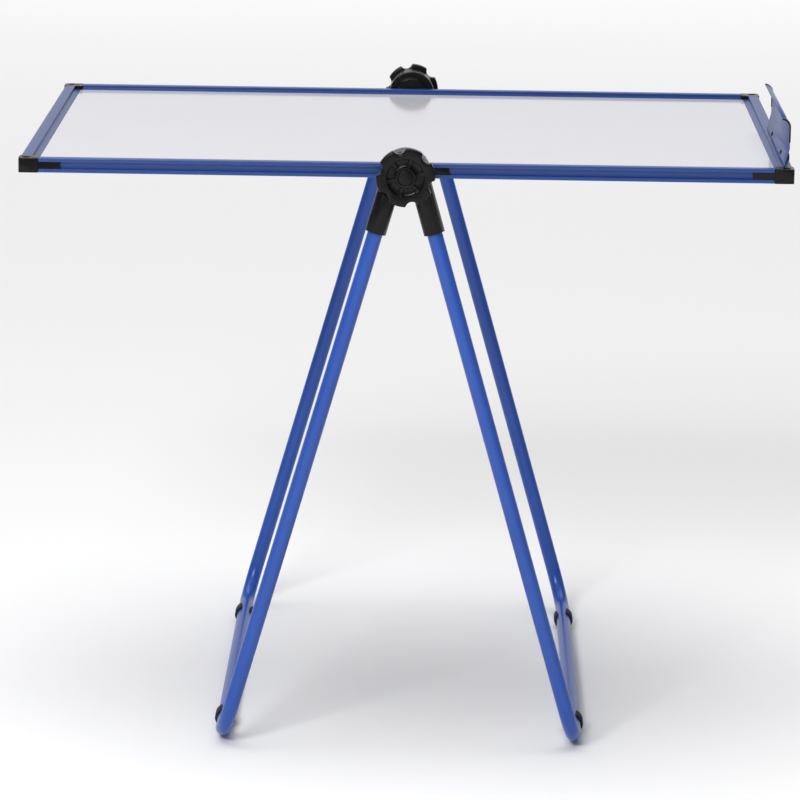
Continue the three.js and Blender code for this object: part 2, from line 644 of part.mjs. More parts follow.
/** Tray, clips, rivets and end trims, in the board's frame. */
function addTray(board) {
  const trimOverhang = TRIM_PLAY + TRIM_WALL;
  const near = -HALF_WIDTH + CORNER_SIZE + GAP + trimOverhang;
  const far = near + TRAY_LENGTH;
  const middle = (near + far) / 2;
  const leanAngle = Math.atan2(TRAY_LEAN, TRAY_LEAN_HEIGHT);
  const rivetX = HALF_LENGTH - TRAY_INSET + (TRAY_LEAN * TRAY_RIVET_HEIGHT) / TRAY_LEAN_HEIGHT;
  const rivetZ = HALF_HEIGHT + GAP + TRAY_RIVET_HEIGHT;
  const clipPlaces = [middle - TRAY_CLIP_SPACING / 2, middle + TRAY_CLIP_SPACING / 2];
  const rivetTurn = [0, -Math.PI / 2 + leanAngle, 0];

  /** The hole for a rivet, through whatever stands on its axis. */
  function rivetHole(y) {
    const reach = TRAY_RIVET.length + GAP - TRAY_SHEET / 2;
    const hole = rodZ(TRAY_RIVET.radius + GAP, -reach, 2 * TRAY_SHEET, SMALL_SIDES);
    return hole.rotateY(rivetTurn[1]).translate(rivetX, y, rivetZ);
  }

  const sheet = extrudeY(strip(trayLine(), TRAY_SHEET), near, far);
  addMesh(board, "pen_tray", carve(sheet, [], clipPlaces.map(rivetHole)), blueRail);

  clipPlaces.forEach((y, i) => {
    const half = TRAY_CLIP_LENGTH / 2;
    const clip = extrudeY(trayClipOutline(), y - half, y + half);
    addMesh(board, `tray_clip_${i + 1}`, carve(clip, [], [rivetHole(y)]), blackPlastic);
    const out = TRAY_SHEET / 2 + GAP;
    const seat = [rivetX - out * Math.cos(leanAngle), y, rivetZ + out * Math.sin(leanAngle)];
    addMesh(board, `tray_rivet_${i + 1}`, fastener(TRAY_RIVET), blackSteel, seat, rivetTurn);
  });

  const slotThickness = TRAY_SHEET + 2 * TRIM_PLAY;
  const trimThickness = slotThickness + 2 * TRIM_WALL;
  const trims = [
    { name: "near", from: near - trimOverhang, slotFrom: near - TRIM_PLAY },
    { name: "far", from: far + trimOverhang - TRIM_LENGTH, slotFrom: far + TRIM_PLAY - TRAY_LENGTH }
  ];
  for (const { name, from, slotFrom } of trims) {
    const hull = extrudeY(strip(trayLine(TRIM_START), trimThickness), from, from + TRIM_LENGTH);
    const slot = extrudeY(strip(trayLine(TRIM_START), slotThickness), slotFrom, slotFrom + TRAY_LENGTH);
    addMesh(board, `tray_${name}_trim`, carve(hull, [], [slot]), blackPlastic);
  }
}

// ------------------------------------------------------------------------ hub

/** The block in the rail's groove, with a pocket for the bolt's head. */
function slideBlockGeometry() {
  const block = extrudeX(grooveFilling(GAP), -SLIDE_BLOCK_SHORT, SLIDE_BLOCK_LONG);
  block.translate(0, -RAIL_FACE_Y, 0);
  const shank = rodY(BOLT_RADIUS + GAP, -RAIL_FACE_Y - CUT_OVER, -BOLT_START + CUT_OVER);
  const pocketFloor = -BOLT_START - BOLT_HEAD_THICKNESS - GAP;
  const pocket = rodY(BOLT_HEAD_RADIUS + GAP, pocketFloor, -BOLT_START + CUT_OVER);
  return carve(block, [], [shank, pocket]);
}

/** The six-lobed knob: front groove, nut pocket, washer recess, and scallops set round by a turn. */
function knobGeometry(turn) {
  const front = -KNOB_FRONT;
  const back = -KNOB_BACK;
  const grooveFloor = front + KNOB_GROOVE_DEPTH;
  const profile = [
    [0, back],
    [KNOB_NECK_RADIUS, back],
    [KNOB_NECK_RADIUS, back - KNOB_NECK],
    [KNOB_RADIUS, back - KNOB_NECK - KNOB_EDGE],
    [KNOB_RADIUS, front + 2 * KNOB_EDGE],
    [KNOB_RADIUS - KNOB_EDGE / 2, front + KNOB_EDGE / 2],
    [KNOB_RADIUS - 2 * KNOB_EDGE, front],
    [KNOB_GROOVE_OUTER, front],
    [KNOB_GROOVE_OUTER - KNOB_OUTER_DRAFT, grooveFloor],
    [KNOB_GROOVE_INNER + KNOB_INNER_DRAFT, grooveFloor],
    [KNOB_GROOVE_INNER, front],
    [0, front]
  ].map(([r, y]) => new THREE.Vector2(r, y));
  const body = new THREE.LatheGeometry(profile.reverse(), DISC_SIDES);
  const cuts = [
    rodY(WASHER_RADIUS + 2 * GAP, back - WASHER_THICKNESS - GAP, back + CUT_OVER, DISC_SIDES),
    rodY(BOLT_RADIUS + GAP, front - CUT_OVER, back + CUT_OVER),
    rodY(CAP_RADIUS + GAP, front - CUT_OVER, -CAP_BACK + GAP),
    nutPrism(NUT_ACROSS_FLATS + 2 * GAP, NUT_BACK - GAP, KNOB_FRONT)
  ];
  for (let i = 0; i < KNOB_LOBES; i += 1) {
    const angle = turn + (i * 2 * Math.PI) / KNOB_LOBES;
    const reach = KNOB_RADIUS + SCALLOP_RADIUS - SCALLOP_DEPTH;
    const scallop = rodY(SCALLOP_RADIUS, front - CUT_OVER, back + CUT_OVER);
    cuts.push(scallop.translate(reach * Math.cos(angle), 0, reach * Math.sin(angle)));
  }
  return carve(body, [], cuts);
}

/** A hexagonal prism on the near hub's bolt, between two distances from the board's middle. */
function nutPrism(acrossFlats, from, to) {
  return rodY(acrossFlats / Math.sqrt(3), -to, -from, 6);
}

/** One side's hub hardware and its knob. The far side is the near side turned half round. */
function addHub(stand, side, turnZ, knobTurn) {
  const hub = addGroup(stand, [0, 0, AXIS_HEIGHT], turnZ);
  addMesh(hub, `${side}_slide_block`, slideBlockGeometry(), blackPlastic);

  const headEnd = BOLT_START + BOLT_HEAD_THICKNESS;
  const shank = rodY(BOLT_RADIUS, -BOLT_END, -BOLT_START);
  const head = rodY(BOLT_HEAD_RADIUS, -headEnd, -BOLT_START);
  addMesh(hub, `${side}_hub_bolt`, carve(shank, [head], []), zincSteel);

  const step = rodY(SPACER_STEP_RADIUS, -SPACER_START - SPACER_STEP - CUT_OVER, -SPACER_START, DISC_SIDES);
  const disc = rodY(SPACER_RADIUS, -SPACER_END, -SPACER_START - SPACER_STEP, DISC_SIDES);
  const spacerHole = rodY(BOLT_RADIUS + GAP, -SPACER_END - CUT_OVER, -SPACER_START + CUT_OVER);
  addMesh(hub, `${side}_hub_spacer`, carve(disc, [step], [spacerHole]), blackPlastic);

  const washer = rodY(WASHER_RADIUS, -KNOB_BACK - WASHER_THICKNESS, -KNOB_BACK, DISC_SIDES);
  const washerHole = rodY(BOLT_RADIUS + GAP, -KNOB_FRONT, -KNOB_BACK + CUT_OVER);
  addMesh(hub, `${side}_hub_washer`, carve(washer, [], [washerHole]), zincSteel);

  addMesh(hub, `${side}_knob_body`, knobGeometry(knobTurn), blackPlastic);
  const nut = nutPrism(NUT_ACROSS_FLATS, NUT_BACK, NUT_FRONT);
  const thread = rodY(BOLT_RADIUS + GAP, -KNOB_FRONT, -KNOB_BACK);
  addMesh(hub, `${side}_knob_nut`, carve(nut, [], [thread]), zincSteel);
  addMesh(hub, `${side}_knob_cap`, rodY(CAP_RADIUS, -CAP_FRONT, -CAP_BACK, DISC_SIDES), blackPlastic);
}

// ------------------------------------------------------------------- assembly

const easel = new THREE.Group();
addLeg(easel, "right", 0);
addLeg(easel, "left", Math.PI);
addTray(addBoard(easel));
addHub(easel, "near", 0, NEAR_KNOB_TURN);
addHub(easel, "far", Math.PI, FAR_KNOB_TURN);

export default easel;
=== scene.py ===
# %% [markdown]
# # A tilting whiteboard easel
# The object is a double-sided whiteboard in a blue grooved frame. It swings on a
# folding stand of two bent tubes. The CAD frame holds every place and size, and this
# file builds the visible surface of each piece around it: rounded mouldings, coated
# extrusions, a bent sheet tray and the small fasteners.

# %% Load the frame
import json
import math

import bmesh
import bpy
from mathutils import Euler, Matrix, Vector


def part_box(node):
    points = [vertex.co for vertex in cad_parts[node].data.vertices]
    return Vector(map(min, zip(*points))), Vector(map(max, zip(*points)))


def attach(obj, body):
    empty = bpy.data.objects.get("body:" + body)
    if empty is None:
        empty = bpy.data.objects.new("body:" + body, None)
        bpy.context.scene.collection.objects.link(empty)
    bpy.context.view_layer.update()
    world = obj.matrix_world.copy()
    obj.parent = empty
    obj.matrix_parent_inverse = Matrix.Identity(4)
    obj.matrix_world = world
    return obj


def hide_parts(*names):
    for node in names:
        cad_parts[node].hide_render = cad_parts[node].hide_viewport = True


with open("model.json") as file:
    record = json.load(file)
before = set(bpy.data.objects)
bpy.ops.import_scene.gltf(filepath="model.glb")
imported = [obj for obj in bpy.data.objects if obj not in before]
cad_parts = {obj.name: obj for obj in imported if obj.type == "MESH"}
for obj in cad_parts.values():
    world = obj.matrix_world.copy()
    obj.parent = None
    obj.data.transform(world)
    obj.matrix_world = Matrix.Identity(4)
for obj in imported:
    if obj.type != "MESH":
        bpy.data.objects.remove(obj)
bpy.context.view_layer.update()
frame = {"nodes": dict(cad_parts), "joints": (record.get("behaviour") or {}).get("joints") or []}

MM = 0.001
JOINTS = {joint["name"]: joint for joint in frame["joints"]}
HUB = Vector(JOINTS["board_tilt"]["pos_m"])
scene = bpy.context.scene

# %% [markdown]
# ## Camera
# A long lens from five metres away keeps the board's sides almost parallel, as in a
# catalogue picture. The camera stands above the board, looks down a little, and is
# rolled by less than a degree. Matrices make the order of the three turns plain:
# first the roll about the view line, then the dip, then the heading.

# %% Camera
CAMERA_PLACE = Vector((0.046, -5.012, 1.486))
CAMERA_LENS = 185.3
CAMERA_DIP = math.radians(12.71)
CAMERA_HEADING = math.radians(0.60)
CAMERA_ROLL = math.radians(0.78)
SENSOR_WIDTH = 36.0

camera_data = bpy.data.cameras.new("catalogue_camera")
camera_data.lens = CAMERA_LENS
camera_data.sensor_width = SENSOR_WIDTH
camera_data.clip_end = 60.0
camera = bpy.data.objects.new("catalogue_camera", camera_data)
scene.collection.objects.link(camera)
camera.matrix_world = (
    Matrix.Translation(CAMERA_PLACE)
    @ Matrix.Rotation(CAMERA_HEADING, 4, "Z")
    @ Matrix.Rotation(math.pi / 2 - CAMERA_DIP, 4, "X")
    @ Matrix.Rotation(CAMERA_ROLL, 4, "Z")
)
scene.camera = camera
scene.view_settings.view_transform = "Standard"
print("camera lens", CAMERA_LENS, "mm")

# %% [markdown]
# ## Nodes and colours
# Shader and geometry trees are both built in code. One helper adds a node, sets its
# options and fills its sockets: a value goes in as it is, and another node's output is
# linked. Colours are written as the sRGB hex values of paint charts, so one function
# turns them into the linear numbers that the renderer works in.


# %% Helpers for nodes and colours
def linear(hex_colour):
    """The linear RGBA of an sRGB hex colour such as "#3A5EB0"."""
    channels = [int(hex_colour[i : i + 2], 16) / 255 for i in (1, 3, 5)]
    curve = [c / 12.92 if c <= 0.04045 else ((c + 0.055) / 1.055) ** 2.4 for c in channels]
    return (*curve, 1.0)


def add_node(tree, kind, settings=None, inputs=None):
    """A new node with its options set and its sockets filled or linked."""
    node = tree.nodes.new(kind)
    for name, value in (settings or {}).items():
        setattr(node, name, value)
    for key, value in (inputs or {}).items():
        if isinstance(value, bpy.types.NodeSocket):
            tree.links.new(value, node.inputs[key])
        else:
            node.inputs[key].default_value = value
    return node


def new_material(name, settings):
    """A material with a Principled shader whose plain sockets are set, its tree and its shader."""
    material = bpy.data.materials.new(name)
    material.use_nodes = True
    tree = material.node_tree
    tree.nodes.clear()
    shader = add_node(tree, "ShaderNodeBsdfPrincipled", inputs=settings)
    output = add_node(tree, "ShaderNodeOutputMaterial")
    tree.links.new(shader.outputs["BSDF"], output.inputs["Surface"])
    return material, tree, shader


def two_tone(tree, shader, factor, dark, light):
    """Colours the shader between two close tones, by a pattern from 0 to 1."""
    mix = add_node(
        tree,
        "ShaderNodeMix",
        {"data_type": "RGBA"},
        {"Factor": factor, "A": linear(dark), "B": linear(light)},
    )
    tree.links.new(mix.outputs["Result"], shader.inputs["Base Color"])


def spread(tree, factor, low, high):
    """Maps a pattern from 0 to 1 onto a range of values."""
    return add_node(
        tree,
        "ShaderNodeMapRange",
        inputs={"Value": factor, "To Min": low, "To Max": high},
    ).outputs["Result"]


def relief(tree, shader, height, depth):
    """Gives the shader a bump of that depth in metres."""
    bump = add_node(tree, "ShaderNodeBump", inputs={"Height": height, "Distance": depth, "Strength": 1.0})
    tree.links.new(bump.outputs["Normal"], shader.inputs["Normal"])


def noise(tree, place, size, detail=2.0, rough=0.5):
    """A noise pattern whose blotches are about size metres across."""
    node = add_node(
        tree,
        "ShaderNodeTexNoise",
        inputs={"Vector": place, "Scale": 1 / size, "Detail": detail, "Roughness": rough},
    )
    return node.outputs["Fac"]


# %% [markdown]
# ## Powder coat on steel tube
# The legs are steel tube, bent and then powder coated. Powder melts into a thick, even
# skin, glossy but never flat: it has orange peel, a ripple about two millimetres wide.
# The shader is a plastic-like one, because the coat hides the metal. A slow noise shifts
# the tone by a hair, and a fine one gives the peel.


# %% Powder-coated steel
def powder_coated_steel():
    settings = {"Roughness": 0.3, "IOR": 1.46}
    material, tree, shader = new_material("powder_coated_steel", settings)
    place = add_node(tree, "ShaderNodeTexCoord").outputs["Object"]
    cloud = noise(tree, place, 60 * MM)
    two_tone(tree, shader, cloud, "#1F489E", "#2852AA")
    peel = noise(tree, place, 2.2 * MM, detail=1.0)
    relief(tree, shader, peel, 0.06 * MM)
    return material


TUBE_COAT = powder_coated_steel()
print("material", TUBE_COAT.name)

# %% [markdown]
# ## Coated aluminium extrusion
# The frame rails are pushed through a die, which leaves faint lines along the length,
# and are coated in the same blue. The lines follow the piece, so this pattern reads the
# rail's own UV map: U runs along the rail and V around its section, both in metres. The
# tray is rolled sheet with the same coat, and has the peel in place of the lines.


# %% Coated aluminium
def coated_aluminium():
    settings = {"IOR": 1.5}
    material, tree, shader = new_material("coated_aluminium_extrusion", settings)
    place = add_node(tree, "ShaderNodeTexCoord").outputs["UV"]
    stretch = add_node(tree, "ShaderNodeMapping", inputs={"Vector": place, "Scale": (0.02, 1.0, 1.0)})
    lines = noise(tree, stretch.outputs["Vector"], 0.5 * MM, detail=3.0, rough=0.6)
    two_tone(tree, shader, lines, "#12387E", "#1A438A")
    relief(tree, shader, lines, 0.02 * MM)
    tree.links.new(spread(tree, lines, 0.24, 0.38), shader.inputs["Roughness"])
    return material


def coated_sheet():
    settings = {"Roughness": 0.32, "IOR": 1.5}
    material, tree, shader = new_material("powder_coated_sheet", settings)
    place = add_node(tree, "ShaderNodeTexCoord").outputs["Object"]
    cloud = noise(tree, place, 40 * MM)
    two_tone(tree, shader, cloud, "#1A3F88", "#224994")
    relief(tree, shader, noise(tree, place, 2.0 * MM, detail=1.0), 0.05 * MM)
    return material


RAIL_COAT = coated_aluminium()
SHEET_COAT = coated_sheet()
print("materials", RAIL_COAT.name, SHEET_COAT.name)

# %% [markdown]
# ## Lacquered writing steel
# The writing sheet is thin steel under a hard white lacquer. It is almost a mirror at a
# low angle and plain white from above. A very long ripple bends the reflections, and
# wiping leaves hazy arcs where the gloss is a little lower.


# %% Lacquered steel
def lacquered_steel():
    settings = {"IOR": 1.5}
    material, tree, shader = new_material("lacquered_writing_steel", settings)
    place = add_node(tree, "ShaderNodeTexCoord").outputs["Object"]
    haze = noise(tree, place, 140 * MM, detail=4.0, rough=0.6)
    tree.links.new(spread(tree, haze, 0.06, 0.14), shader.inputs["Roughness"])
    two_tone(tree, shader, haze, "#D3D3DB", "#D8D8DF")
    ripple = noise(tree, place, 9 * MM, detail=1.0)
    relief(tree, shader, ripple, 0.008 * MM)
    return material


WRITING_LACQUER = lacquered_steel()
print("material", WRITING_LACQUER.name)

# %% [markdown]
# ## Moulded black ABS
# Knobs, sockets and corner blocks are injection moulded in black ABS. The mould is spark
# eroded, so the skin has a fine even grain that breaks up highlights. The grain is about
# 0.3 mm, drawn at 0.7 mm so that it still shows in the picture.


# %% Moulded ABS
def moulded_abs():
    settings = {"IOR": 1.53, "Specular IOR Level": 0.18}
    material, tree, shader = new_material("moulded_black_abs", settings)
    place = add_node(tree, "ShaderNodeTexCoord").outputs["Object"]
    grain = noise(tree, place, 0.7 * MM, detail=2.0)
    flow = noise(tree, place, 14 * MM, detail=3.0)
    two_tone(tree, shader, flow, "#0B0A0C", "#111012")
    tree.links.new(spread(tree, flow, 0.2, 0.32), shader.inputs["Roughness"])
    relief(tree, shader, grain, 0.05 * MM)
    return material


BLACK_ABS = moulded_abs()
print("material", BLACK_ABS.name)

# %% [markdown]
# ## Rubber, fastener steel and honeycomb
# The feet are a soft black rubber: duller than the ABS, with a dusty bloom. The small
# fasteners are steel with bright zinc plating, slightly blue and a little uneven, apart
# from the tray's rivets, which are blackened. The core, which shows only if the board is
# taken apart, is a paper honeycomb with cells ten millimetres across.

# %% Rubber, fastener steel and honeycomb
def moulded_rubber():
    material, tree, shader = new_material("moulded_rubber", {"Roughness": 0.78, "IOR": 1.52})
    place = add_node(tree, "ShaderNodeTexCoord").outputs["Object"]
    bloom = noise(tree, place, 5 * MM, detail=5.0, rough=0.7)
    two_tone(tree, shader, bloom, "#121213", "#262628")
    relief(tree, shader, noise(tree, place, 0.6 * MM), 0.05 * MM)
    return material


def zinc_plated_steel():
    material, tree, shader = new_material("zinc_plated_steel", {"Metallic": 1.0})
    place = add_node(tree, "ShaderNodeTexCoord").outputs["Object"]
    spangle = noise(tree, place, 1.6 * MM, detail=3.0)
    two_tone(tree, shader, spangle, "#A9ADB3", "#C6C9CE")
    tree.links.new(spread(tree, spangle, 0.22, 0.42), shader.inputs["Roughness"])
    return material


def paper_honeycomb():
    material, tree, shader = new_material("paper_honeycomb", {"Roughness": 0.9, "IOR": 1.45})
    place = add_node(tree, "ShaderNodeTexCoord").outputs["Object"]
    cells = add_node(
        tree,
        "ShaderNodeTexVoronoi",
        {"feature": "DISTANCE_TO_EDGE"},
        {"Vector": place, "Scale": 1 / (10 * MM), "Randomness": 0.3},
    )
    two_tone(tree, shader, cells.outputs["Distance"], "#8C7147", "#C4A77A")
    relief(tree, shader, cells.outputs["Distance"], 1.0 * MM)
    return material


def blackened_steel():
    settings = {"Metallic": 1.0, "Base Color": linear("#2B2B2E")}
    material, tree, shader = new_material("blackened_steel", settings)
    place = add_node(tree, "ShaderNodeTexCoord").outputs["Object"]
    oil = noise(tree, place, 1.2 * MM, detail=3.0)
    two_tone(tree, shader, oil, "#262629", "#3A3A3E")
    tree.links.new(spread(tree, oil, 0.35, 0.55), shader.inputs["Roughness"])
    return material


FOOT_RUBBER = moulded_rubber()
BLACK_STEEL = blackened_steel()
ZINC = zinc_plated_steel()
HONEYCOMB = paper_honeycomb()
print("materials", FOOT_RUBBER.name, BLACK_STEEL.name, ZINC.name, HONEYCOMB.name)

# %% [markdown]
# ## Finishing a piece
# Every new piece ends the same way: its mesh is in the row's own frame, its object sits
# at the origin, it rides on a body and hides the CAD nodes that it stands for. One
# function does that, so no piece can miss a step.


# %% Helpers for pieces
def link_object(name, mesh):
    """A new object for a mesh, in the scene."""
    piece = bpy.data.objects.new(name, mesh)
    scene.collection.objects.link(piece)
    return piece


def finish_piece(piece, material, body, slot, *nodes):
    """Gives a piece its finish and its body, and hides the CAD nodes it stands for. The slot is not used.
    """
    piece.data.materials.clear()
    piece.data.materials.append(material)
    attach(piece, body)
    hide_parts(*nodes)
    return piece


def baked(source, name):
    """A plain mesh object of what a source object's modifiers make. The source is removed."""
    bpy.context.view_layer.update()
    depsgraph = bpy.context.evaluated_depsgraph_get()
    mesh = bpy.data.meshes.new_from_object(source.evaluated_get(depsgraph))
    bpy.data.objects.remove(source)
    mesh.name = name
    return link_object(name, mesh)


def smooth(piece, degrees=35):
    """Shades a piece smooth, and keeps edges sharper than an angle crisp."""
    piece.data.polygons.foreach_set("use_smooth", [True] * len(piece.data.polygons))
    piece.data.set_sharp_from_angle(angle=math.radians(degrees))
    return piece


# %% [markdown]
# ## Bent leg tubes
# Each leg is one tube bent into a U. Its shape follows a rule, a round section swept
# along a path with rounded corners, so a Geometry Nodes tree makes it: four path points
# become a curve, Fillet Curve gives the bends their radius, and Curve to Mesh sweeps the
# section. Changing an input bends a different tube.

# %% The bent tube tree
BEND_RADIUS = 50 * MM
TUBE_RADIUS = 9 * MM
LEG_ANGLE = math.radians(16)
TUBE_OFFSET = 14 * MM
TUBE_TOP = 32 * MM


def new_geometry_tree(name, inputs):
    """A geometry tree with named inputs, and the identifiers that a modifier needs for them."""
    tree = bpy.data.node_groups.new(name, "GeometryNodeTree")
    tree.interface.new_socket("Geometry", in_out="INPUT", socket_type="NodeSocketGeometry")
    tree.interface.new_socket("Geometry", in_out="OUTPUT", socket_type="NodeSocketGeometry")
    identifiers = {}
    for label, kind in inputs.items():
        socket = tree.interface.new_socket(label, in_out="INPUT", socket_type=f"NodeSocket{kind}")
        identifiers[label] = socket.identifier
    return tree, identifiers


def run_tree(source, tree, identifiers, values, name):
    """The plain mesh that a tree makes from a source object, with the tree's inputs set."""
    modifier = source.modifiers.new(name, "NODES")
    modifier.node_group = tree
    for label, value in values.items():
        modifier[identifiers[label]] = value
    return baked(source, name)


def bent_tube_tree():
    inputs = {"Bend Radius": "Float", "Tube Radius": "Float", "Coat": "Material"}
    tree, identifiers = new_geometry_tree("bent_tube", inputs)
    given = add_node(tree, "NodeGroupInput").outputs
    path = add_node(tree, "GeometryNodeMeshToCurve", inputs={"Mesh": given["Geometry"]})
    bent = add_node(
        tree,
        "GeometryNodeFilletCurve",
        {"mode": "POLY"},
        {"Curve": path.outputs["Curve"], "Count": 18, "Radius": given["Bend Radius"]},
    )
    section = add_node(
        tree,
        "GeometryNodeCurvePrimitiveCircle",
        inputs={"Resolution": 40, "Radius": given["Tube Radius"]},
    )
    swept = add_node(
        tree,
        "GeometryNodeCurveToMesh",
        inputs={
            "Curve": bent.outputs["Curve"],
            "Profile Curve": section.outputs["Curve"],
            "Fill Caps": True,
        },
    )
    smoothed = add_node(tree, "GeometryNodeSetShadeSmooth", inputs={"Geometry": swept.outputs["Mesh"]})
    realized = add_node(
        tree, "GeometryNodeRealizeInstances", inputs={"Geometry": smoothed.outputs["Geometry"]}
    )
    coated = add_node(
        tree,
        "GeometryNodeSetMaterial",
        inputs={"Geometry": realized.outputs["Geometry"], "Material": given["Coat"]},
    )
    add_node(tree, "NodeGroupOutput", inputs={"Geometry": coated.outputs["Geometry"]})
    return tree, identifiers


BENT_TUBE, BENT_TUBE_INPUTS = bent_tube_tree()
print("tree", BENT_TUBE.name)


# %% Both legs
def leg_path(side):
    """The four corners of a leg's path: down one side, along the floor and up the other."""
    low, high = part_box(f"{side}_leg_frame")
    outward = 1 if side == "right" else -1
    span = high.y - TUBE_RADIUS
    bar_x = (high.x - TUBE_RADIUS) if side == "right" else (low.x + TUBE_RADIUS)
    bar_z = low.z + TUBE_RADIUS
    top_x = outward * (TUBE_OFFSET * math.cos(LEG_ANGLE) + TUBE_TOP * math.sin(LEG_ANGLE))
    top_z = HUB.z + TUBE_OFFSET * math.sin(LEG_ANGLE) - TUBE_TOP * math.cos(LEG_ANGLE)
    return [(top_x, -span, top_z), (bar_x, -span, bar_z), (bar_x, span, bar_z), (top_x, span, top_z)]


def build_leg(side):
    mesh = bpy.data.meshes.new("leg_path")
    mesh.from_pydata(leg_path(side), [(0, 1), (1, 2), (2, 3)], [])
    values = {"Bend Radius": BEND_RADIUS, "Tube Radius": TUBE_RADIUS, "Coat": TUBE_COAT}
    path = link_object("leg_path", mesh)
    tube = run_tree(path, BENT_TUBE, BENT_TUBE_INPUTS, values, f"{side}_bent_tube")
    finish_piece(tube, TUBE_COAT, f"{side}_leg", "blue_tube", f"{side}_leg_frame")
    return smooth(tube)


for side in ("left", "right"):
    tube = build_leg(side)
    print(tube.name, len(tube.data.polygons), "faces")

# %% [markdown]
# ## Grooved rails
# A rail is one section pushed to a length. Its outer box has a groove for the slide
# blocks, and its two thin lips hold the panel. The section is drawn as a few corners,
# each with its own rounding, because a real die has no sharp corner. The long sides get
# a UV map in metres for the die lines.

# %% Rail section
RAIL_BOX_DEPTH = 12.5 * MM
RAIL_LIP_DEPTH = 7 * MM
GROOVE_MOUTH = 8.5 * MM
GROOVE_LIP = 1.4 * MM
GROOVE_DEPTH = 4.6 * MM
GROOVE_INNER = 12.4 * MM
CHANNEL_HALF = 3.5 * MM
CHANNEL_START = 8.2 * MM
LIP_THICKNESS = 1.1 * MM
LIP_EDGE = 0.6 * MM


def rounded_outline(corners, steps=4):
    """An outline through (x, y, radius) corners, each rounded by an arc of its radius."""
    outline = []
    count = len(corners)
    for i, (x, y, radius) in enumerate(corners):
        here = Vector((x, y))
        if radius == 0:
            outline.append(here)
            continue
        back = (Vector(corners[i - 1][:2]) - here).normalized()
        ahead = (Vector(corners[(i + 1) % count][:2]) - here).normalized()
        half = back.angle(ahead) / 2
        bisector = (back + ahead).normalized()
        centre = here + bisector * (radius / math.sin(half))
        start = here + back * (radius / math.tan(half)) - centre
        end = here + ahead * (radius / math.tan(half)) - centre
        turn = start.angle_signed(end)
        for step in range(steps + 1):
            outline.append(centre + Matrix.Rotation(-turn * step / steps, 2) @ start)
    return outline


def rail_section(height):
    """The rail's section, with depth inward from the outer face and height about its middle."""
    top = height / 2
    mouth = GROOVE_MOUTH / 2
    inner = GROOVE_INNER / 2
    lip_end = RAIL_BOX_DEPTH + RAIL_LIP_DEPTH
    upper = [
        (0, mouth, 0.25 * MM),
        (0, top, 0.7 * MM),
        (RAIL_BOX_DEPTH, top, 0.7 * MM),
        (RAIL_BOX_DEPTH, CHANNEL_HALF + LIP_THICKNESS, 0.6 * MM),
        (lip_end, CHANNEL_HALF + LIP_EDGE, 0.25 * MM),
        (lip_end, CHANNEL_HALF, 0.1 * MM),
        (CHANNEL_START, CHANNEL_HALF, 0),
    ]
    lower = [(depth, -z, radius) for depth, z, radius in reversed(upper)]
    groove = [
        (GROOVE_LIP, -mouth, 0.2 * MM),
        (GROOVE_LIP, -inner, 0),
        (GROOVE_DEPTH, -inner, 0.4 * MM),
        (GROOVE_DEPTH, inner, 0.4 * MM),
        (GROOVE_LIP, inner, 0),
        (GROOVE_LIP, mouth, 0.2 * MM),
    ]
    return rounded_outline(upper + lower + groove)


rail_low, rail_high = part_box("near_rail")
print("rail section", len(rail_section(rail_high.z - rail_low.z)), "points")


# %% Four rails
def sweep_section(name, section, length, place):
    """A section pushed along +X for a length and put in place, with U along it and V around it."""
    mesh = bmesh.new()
    uv = mesh.loops.layers.uv.new("sweep")
    rows = [
        [mesh.verts.new(place @ Vector((x, point.x, point.y))) for point in section]
        for x in (-length / 2, length / 2)
    ]
    around = [0.0]
    for i, point in enumerate(section):
        around.append(around[-1] + (section[(i + 1) % len(section)] - point).length)
    for i in range(len(section)):
        j = (i + 1) % len(section)
        face = mesh.faces.new((rows[0][i], rows[1][i], rows[1][j], rows[0][j]))
        corners = ((0, around[i]), (length, around[i]), (length, around[i + 1]), (0, around[i + 1]))
        for loop, corner in zip(face.loops, corners):
            loop[uv].uv = corner
    mesh.faces.new(rows[0])
    mesh.faces.new(reversed(rows[1]))
    bmesh.ops.recalc_face_normals(mesh, faces=mesh.faces)
    data = bpy.data.meshes.new(name)
    mesh.to_mesh(data)
    mesh.free()
    return link_object(name, data)


def build_rail(side, quarter):
    """One rail, with its outer face on the outside of its CAD node and its lips inward."""
    low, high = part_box(f"{side}_rail")
    middle = (low + high) / 2
    size = high - low
    turn = Matrix.Rotation(quarter * math.pi / 2, 4, "Z")
    along_y = quarter % 2 == 1
    depth = size.x if along_y else size.y
    outer = middle + turn @ Vector((0, -depth / 2, 0))
    place = Matrix.Translation(outer) @ turn
    length = size.y if along_y else size.x
    rail = sweep_section(f"{side}_extrusion", rail_section(size.z), length, place)
    finish_piece(rail, RAIL_COAT, "board", "blue_rail", f"{side}_rail")
    return smooth(rail, 25)


for quarter, side in enumerate(("near", "right", "far", "left")):
    rail = build_rail(side, quarter)
    print(rail.name, len(rail.data.polygons), "faces")

# %% [markdown]
# ## Mouldings from their CAD shape
# Corner blocks, sockets, slide blocks, clips, trims and feet already have the right
# shape in CAD, but with knife-sharp edges. A moulding never has those: the tool's
# corners are rounded so that plastic can flow. So each is a copy of its CAD node, with
# its loose triangles merged and its flat faces made whole, and a Bevel modifier rounds
# every edge by a set radius. The flat faces keep their shading, because the bevel
# hardens its normals.


